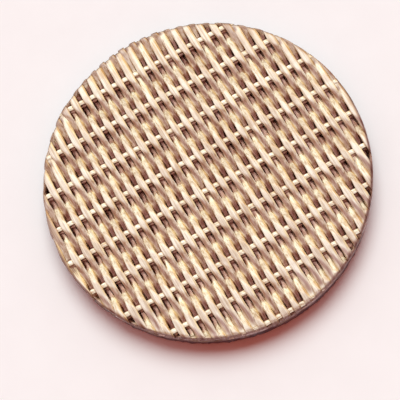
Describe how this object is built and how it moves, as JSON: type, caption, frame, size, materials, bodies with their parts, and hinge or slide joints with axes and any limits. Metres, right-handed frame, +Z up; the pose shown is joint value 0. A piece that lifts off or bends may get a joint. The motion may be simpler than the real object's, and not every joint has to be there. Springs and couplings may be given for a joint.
{
  "type": "sintered metal felt disc",
  "caption": "Round porous metal filter disc: fibre felt under crosswise layers of plain Dutch wire weave, sintered into one thin plate that strains liquids and gases.",
  "frame": {"origin": "middle of the flat bottom face, which is the felt side", "axes": "+Z up through the thickness towards the woven face, +X along the warp wires of the face weave"},
  "size_m": [0.02, 0.02, 0.0016],
  "materials": {
    "wire_steel": "rolled",
    "felt_steel": "satin"
  },
  "bodies": {
    "root": {"fibre_felt": "felt_steel", "cross_weave": "wire_steel", "face_weave": "wire_steel"}
  },
  "joints": []
}
